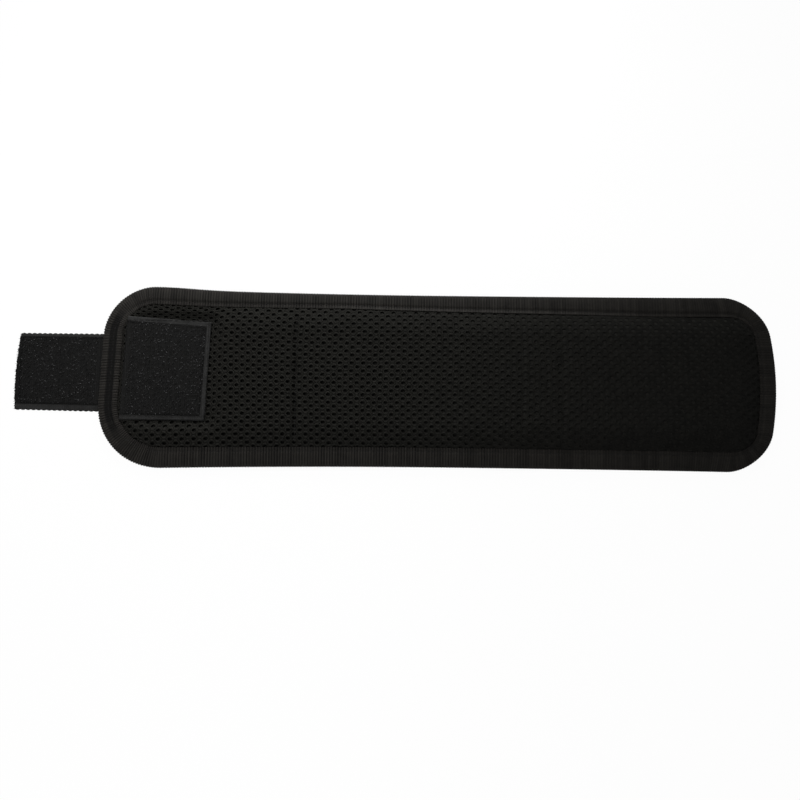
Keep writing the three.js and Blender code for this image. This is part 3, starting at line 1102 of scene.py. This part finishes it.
def plain_edges(piece, into_field):
    """Marks the light selvage of a hook tape, and a line of painted shade where the raised hook field
    starts
    """
    painted_shade_line = field_line_shade * bell(into_field - field_line, field_line)
    keep_on_points(piece, "plain_edge", (into_field < 0) - painted_shade_line * (into_field >= 0))


def patch_tape():
    piece, along, across, upper = slab("patch_tape", *patch_steps)
    x, y = patch_place(along, across)
    sides = [(1 - along) * patch_length, across * patch_width, (1 - across) * patch_width]
    edge = np.minimum.reduce([along * patch_length, *sides])
    rolled = patch_roll * fade(edge, patch_roll_reach) ** 2
    seam = patch_seam_dip * bell(edge - patch_seam, patch_seam_width)
    field = field_rise * rise(edge - patch_margin, field_reach)
    top = patch_bottom + tape_base - field_rise - rolled - seam + field
    set_points(piece, x, y, np.where(upper, top, patch_bottom))
    plain_edges(piece, np.minimum.reduce(sides) - patch_margin)
    return welded(piece)


def patch_hook_place(along, across):
    margin_x = patch_margin / patch_length
    margin_y = patch_margin / patch_width
    x, y = patch_place(margin_x + along * (1 - 2 * margin_x), margin_y + across * (1 - 2 * margin_y))
    return x, y, patch_bottom + tape_base - hook_sink


bend_with_band(patch_tape(), ground, "hook_tape", "hook_patch_")
patch_hooks = hook_field(
    "patch_hooks", patch_hook_place,
    round((patch_length - 2 * patch_margin) / hook_pitch),
    round((patch_width - 2 * patch_margin) / hook_row_pitch),
)
bend_with_band(patch_hooks, nylon, "hook_tape")


def tab_place(along, across):
    """Along goes from the sewn root to the free end, which bows out a little"""
    y = tab_near + tab_width * across
    x = tab_seam_end + (tab_end - 4 * tab_bow * across * (1 - across) - tab_seam_end) * along
    flare = tab_flare_far * across - tab_flare_near * (1 - along) * (1 - across)
    return leaned(x, y), y + flare


def tab_tape():
    piece, along, across, upper = slab("tab_tape", *tab_steps)
    x, y = tab_place(along, across)
    length = tab_seam_end - tab_end
    picots = np.abs(np.sin(math.pi * along * length / picot_pitch)) - picot_level
    side = np.where(across < 0.5, -1, 1) * np.isclose(np.abs(across - 0.5), 0.5, atol=on_edge)
    past_root = rise(along * length - tab_plain_root, tab_plain_reach)
    y = y + side * picot_reach * picots * past_root
    ragged = draws.uniform(-tab_rag, tab_rag, 3 * (tab_steps[1] + 1))
    at_end = np.isclose(along, 1, atol=on_edge)
    x = x + at_end * ragged[np.rint(across * tab_steps[1]).astype(int)]
    edge = np.minimum(across, 1 - across) * tab_width
    rolled = tab_roll * fade(edge, tab_roll_reach)
    margin = np.where(across < 0.5, tab_near_margin, tab_far_margin)
    field = field_rise * rise(edge - margin, field_reach) * past_root
    set_points(piece, x, y, np.where(upper, tape_base - field_rise - rolled + field, 0))
    from_end = (1 - along) * length - tab_end_margin - tab_end_margin_near * (1 - across)
    plain_edges(piece, np.minimum(edge - margin, np.maximum(from_end, 0)))
    return welded(piece)


def tab_hook_place(along, across):
    y = tab_near + tab_near_margin + (tab_width - tab_near_margin - tab_far_margin) * across
    share = (y - tab_near) / tab_width
    margin = tab_end_margin + tab_end_margin_near * (1 - across)
    left = tab_end + margin - 4 * tab_bow * share * (1 - share)
    x = (tab_hinge - tab_root_margin) * (1 - along) + left * along
    return leaned(x, y), y, tape_base - hook_sink


def lifts_with_tab(piece, material):
    """Gives a piece of the tab its material and bakes its place into its points"""
    piece.data.materials.append(material)
    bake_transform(piece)


def frayed_end():
    """Loose yarn ends that stand out of the tab's cut end"""
    bpy.ops.mesh.primitive_cone_add(
        vertices=3, radius1=fray_radii[0], radius2=fray_radii[1], depth=1, end_fill_type="TRIFAN",
    )
    piece = bpy.context.object
    piece.name = "tab_fray"
    points = copies(piece, fray_count)
    length = draws.uniform(*fray_lengths, (fray_count, 1))
    swing, dip = draws.uniform(-fray_swing, fray_swing, (2, fray_count, 1))
    across = (np.arange(fray_count) + draws.uniform(0.1, 0.9, fray_count)) / fray_count
    end_x, end_y = tab_place(np.ones(fray_count), across)
    run = (points[:, :, 2] + 0.5) * length - fray_root
    free = np.maximum(run, 0)
    y = end_y[:, None] - points[:, :, 0] + swing * free
    z = fray_height + points[:, :, 1] + fray_droop * dip * free
    set_points(piece, end_x[:, None] - run, y, z)
    return piece


tab = tab_tape()
lifts_with_tab(tab, ground)
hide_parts("hook_tab", "hook_tab_root")
tab_hooks = hook_field(
    "tab_hooks", tab_hook_place,
    round((tab_hinge - tab_end - tab_root_margin) / hook_pitch),
    round((tab_width - tab_near_margin - tab_far_margin) / hook_row_pitch),
)
lifts_with_tab(tab_hooks, nylon)
lifts_with_tab(frayed_end(), nylon)

# The outer cover: one sheet of coarse ballistic nylon, flat behind all the layers, that fills out a
# little over the discs. Its edge is sewn into the binding.
cover_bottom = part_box("outer_cover_5")[0][2]
cover_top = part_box("outer_cover_5")[1][2]
cover_inset = 1.0 * mm
cover_step = 2.0 * mm
cover_fill = 0.25 * mm
cover_fill_reach = 8 * mm
basket_pitch = 1.1 * mm
basket_weight = 0.7


def outer_sheet():
    steps = (round(size / cover_step) for size in (band_length, left_width))
    piece, along, across, upper = slab("outer_sheet", *steps)
    x, y = shaped(*strip_place(along, across, cover_inset))
    height = np.where(upper, cover_top, cover_bottom)
    for node in magnet_nodes:
        middle = node_middle(node)[0]
        away = np.hypot(x + band_middle - middle[0], y - middle[1])
        height = height - np.where(upper, 0, cover_fill * bell(away, cover_fill_reach, 4))
    set_points(piece, x, y, height)
    return welded(piece)


def ballistic_weave():
    material, tree, shader = cloth("ballistic_weave", roughness=0.6, shine=0.2)
    warp, weft = (
        textured(tree, "Wave", scale=math.pi / 10 / basket_pitch, bands_direction=way, Distortion=0.3)
        for way in "XY"
    )
    checks = textured(tree, "Checker", scale=1 / basket_pitch)
    under = times(tree, weft, maths(tree, "SUBTRACT", 1, checks))
    weave = plus(tree, times(tree, warp, checks), under)
    yarn = textured(tree, "Noise", scale=2400, Detail=2.0)
    coloured(
        tree, shader, plus(tree, times(tree, weave, basket_weight), yarn),
        dark=(0.006, 0.006, 0.0065), light=(0.026, 0.026, 0.028), start=0.45, end=1.2,
    )
    raised(tree, shader, weave, distance=0.15 * mm)
    return material


bend_with_band(outer_sheet(), ballistic_weave(), "outer_cover", "outer_cover_")

# The loop field: 50 mm brushed loop tape sewn to the outer face near the round end, for the hooks of
# the tab and the patch to grip when the band is wrapped.
loop_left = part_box("loop_field_7")[0][0] - band_middle
loop_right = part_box("loop_field_9")[1][0] - band_middle
loop_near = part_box("loop_field_8")[0][1]
loop_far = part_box("loop_field_8")[1][1]
loop_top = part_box("loop_field_8")[1][2]
loop_steps = (70, 34)
loop_ground = 0.9 * mm
loop_ground_rise = 0.35 * mm
loop_selvage = 0.5 * mm
loop_lump = 0.12 * mm
loop_waves = ((2100, 0, 0), (300, 1900, 0))
loop_reach = 0.55 * mm
loop_thread = 0.08 * mm
loop_pitch = 1.45 * mm
loop_margin = 1.2 * mm
loop_stray = 0.35
loop_lean = 0.7
loop_squat = 0.9
loop_lift = 0.02 * mm


def loop_base():
    piece, along, across, upper = slab("loop_base", *loop_steps)
    x = loop_left + (loop_right - loop_left) * along
    y = loop_near + (loop_far - loop_near) * across
    edge = np.minimum.reduce([x - loop_left, loop_right - x, y - loop_near, loop_far - y])
    raised_field = loop_ground_rise * rise(edge - loop_selvage, loop_margin)
    bottom = loop_ground - raised_field + loop_lump * ripples(x, y, *loop_waves)
    set_points(piece, x, y, np.where(upper, loop_top, bottom))
    return welded(piece)


def small_loop():
    """One thread loop: an arch of a thin ring that hangs from the ground"""
    bpy.ops.mesh.primitive_circle_add(
        vertices=3, radius=loop_thread, fill_type="TRIFAN", location=(loop_reach, 0, 0),
    )
    piece = bpy.context.object
    alone(piece)
    bpy.ops.object.transform_apply(location=True)
    edit_all(piece)
    bpy.ops.mesh.spin(steps=5, angle=math.pi, center=(0, 0, 0), axis=(0, 1, 0))
    leave_edit()
    x, y, z = points_of(piece).T
    put_points(piece, np.stack([x, y, -np.abs(z)], axis=1))
    edit_all(piece)
    outwards()
    return piece


def loop_pile():
    piece = small_loop()
    piece.name = "loop_pile"
    columns = round((loop_right - loop_left - 2 * loop_margin) / loop_pitch)
    rows = round((loop_far - loop_near - 2 * loop_margin) / loop_pitch)
    points = copies(piece, columns * rows)
    column, row = cells(columns, rows)
    stray_x, stray_y = draws.uniform(-loop_stray, loop_stray, (2, row.size))
    x, y, z = turned(points, draws.uniform(0, math.pi, row.size))
    lean = draws.uniform(-loop_lean, loop_lean, (row.size, 1)) * z
    base_x = loop_left + loop_margin + (column + 0.5 + stray_x) * loop_pitch
    base_y = loop_near + loop_margin + (row + 0.5 + stray_y) * loop_pitch
    height = np.maximum(loop_reach + loop_lift + z * loop_squat, loop_lift)
    set_points(piece, x + lean + base_x[:, None], y - lean + base_y[:, None], height)
    bpy.ops.object.shade_smooth()
    return piece


loop_nylon = one_pattern(
    "brushed_loops", "Noise", scale=1100, Detail=4.0, roughness=0.8, shine=0.12,
    dark=(0.004, 0.004, 0.0045), light=(0.020, 0.020, 0.022), height=0.25 * mm,
)
bend_with_band(loop_base(), loop_nylon, "loop_tape", "loop_field_")
bend_with_band(loop_pile(), loop_nylon, "loop_tape")

# The sewing: bonded black thread in lock stitches, round the binding on both faces, round the patch
# and the loop field, over the tab's root, and down the one channel across the mesh.
stitch_pitch = 3.0 * mm
stitch_length = 2.5 * mm
stitch_thread = 0.2 * mm
heading_step = 0.5 * mm
seam_sink = 0.02 * mm
valley_sink = 0.1 * mm
patch_sink = 0.2 * mm
loop_seam = 0.8 * mm
loop_sink = 0.05 * mm
channel_length = 66 * mm
channel_sink = 0.05 * mm
tab_seams = (1.2 * mm, 5.6 * mm)
tab_seam_inset = 1.2 * mm
tab_seam_height = 0.18 * mm


def stitch_row(distance):
    """Middles of the stitches that fit in a stretch, as shares of it"""
    count = max(round(distance / stitch_pitch), 1)
    return (np.arange(count) + 0.5) / count


def stitches(x, y, heading, height, side):
    """A row of numbers for each stitch: its place, heading, height and the face it lies on"""
    return np.column_stack(np.broadcast_arrays(x, y, heading, height, side))


def along_line(start, end, height, side):
    """Stitches on a straight line"""
    start, end = np.array(start), np.array(end)
    place = start + (end - start) * stitch_row(np.hypot(*(end - start)))[:, None]
    return stitches(*place.T, math.atan2(*(end - start)[::-1]), height, side)


def mesh_seam(x, out_x, out_y):
    """Inset and height of the seam over the mesh; at the left end it lies in the tape's valley"""
    leg = leg_width(x, out_x, out_y)
    left = left_end(out_x)
    inset = (leg - seam_inset) * (1 - left) + leg * valley_share * left
    return inset, tape_height(x, inset, leg, out_x, out_y) - seam_sink - valley_sink * left


def outer_seam(x, out_x, out_y):
    """Inset and height of the same seam on the outer face"""
    leg = tape_width - leg_width(x, out_x, out_y) - (tape_top - tape_bottom)
    return leg - seam_inset, tape_bottom


def round_edge(seam, side):
    """Stitches that follow the band's edge; each lies in line with the edge on both sides of it"""
    distance = stitch_row(outline_length) * outline_length
    places, heights = [], []
    for shift in (-heading_step, 0, heading_step):
        x, y, out_x, out_y = outline_at(distance + shift)
        inset, height = seam(x, out_x, out_y)
        places.append(shaped(x - inset * out_x, y - inset * out_y))
        heights.append(height)
    before, at, after = places
    return stitches(*at, np.arctan2(after[1] - before[1], after[0] - before[0]), heights[1], side)


def box_rows(left, right, near, far, inset, height, side):
    """Stitches round a piece, a little in from its edges"""
    left, right, near, far = left + inset, right - inset, near + inset, far - inset
    corners = [(left, near), (right, near), (right, far), (left, far), (left, near)]
    corners = [(leaned(x, y), y) for x, y in corners]
    return [along_line(a, b, height, side) for a, b in zip(corners, corners[1:])]


def sewing():
    rows = [round_edge(mesh_seam, 1), round_edge(outer_seam, -1)]
    patch_level, loop_level = patch_bottom + tape_base - patch_sink, loop_ground - loop_sink
    rows += box_rows(patch_left, patch_right, patch_near, patch_far, patch_seam, patch_level, 1)
    rows += box_rows(loop_left, loop_right, loop_near, loop_far, loop_seam, loop_level, -1)
    across = (stitch_row(channel_length) - 0.5) * channel_length
    channel = np.full(len(across), channel_place)
    for level, side in ((lining_height(channel, across) - channel_sink, 1), (cover_bottom, -1)):
        rows.append(stitches(*shaped(channel, across), math.pi / 2, level, side))
    ends = (tab_near + tab_seam_inset, tab_far - tab_seam_inset)
    for inset in tab_seams:
        near, far = ((leaned(tab_seam_end - inset, y), y) for y in ends)
        rows.append(along_line(near, far, tab_seam_height, -1))
    rows = np.concatenate(rows)
    bpy.ops.mesh.primitive_uv_sphere_add(segments=6, ring_count=5, radius=1)
    piece = bpy.context.object
    piece.name = "sewing"
    bpy.ops.transform.resize(value=(stitch_thread, stitch_thread, stitch_length / 2))
    bpy.ops.transform.rotate(value=math.pi / 2, orient_axis="Y", center_override=(0, 0, 0))
    alone(piece)
    bpy.ops.object.transform_apply(location=True, rotation=True, scale=True)
    points = copies(piece, len(rows))
    points[:, :, 1:] *= rows[:, 4, None, None]
    x, y, z = turned(points, rows[:, 2])
    set_points(piece, x + rows[:, :1], y + rows[:, 1:2], rows[:, 3:4] + z)
    bpy.ops.object.shade_smooth()
    return piece


bonded_thread = one_pattern(
    "bonded_thread", "Wave", scale=900, bands_direction="DIAGONAL", Distortion=0.2,
    roughness=0.5, shine=0.05,
    dark=(0.0045, 0.0045, 0.0043), light=(0.0125, 0.0122, 0.0118), height=0.05 * mm,
)
bend_with_band(sewing(), bonded_thread, "binding")

# The discs: nickel-plated neodymium magnets, in two rows of pockets, on thin felted carrier sheets
# that lie behind the padding.
nickel_roughness = {"To Min": 0.2, "To Max": 0.38}


def nickel():
    material, tree, shader = new_material("nickel_plate")
    shader.inputs["Metallic"].default_value = 1.0
    smudges = textured(tree, "Noise", scale=260, Detail=4.0)
    coloured(tree, shader, smudges, dark=(0.5, 0.49, 0.47), light=(0.66, 0.65, 0.62))
    rough = tree.nodes.new("ShaderNodeMapRange")
    for end, roughness in nickel_roughness.items():
        rough.inputs[end].default_value = roughness
    tree.links.new(smudges, rough.inputs["Value"])
    tree.links.new(rough.outputs["Result"], shader.inputs["Roughness"])
    raised(tree, shader, smudges, distance=0.01 * mm)
    return material


felted_sheet = one_pattern(
    "felted_sheet", "Noise", scale=1800, Detail=4.0, roughness=0.9, shine=0.2,
    dark=(0.10, 0.10, 0.11), light=(0.21, 0.21, 0.22), height=0.08 * mm,
)
for nodes, finish in ((magnet_nodes, nickel()), (carrier_nodes, felted_sheet)):
    for node in nodes:
        materials = bpy.data.objects[node].data.materials
        materials.clear()
        materials.append(finish)
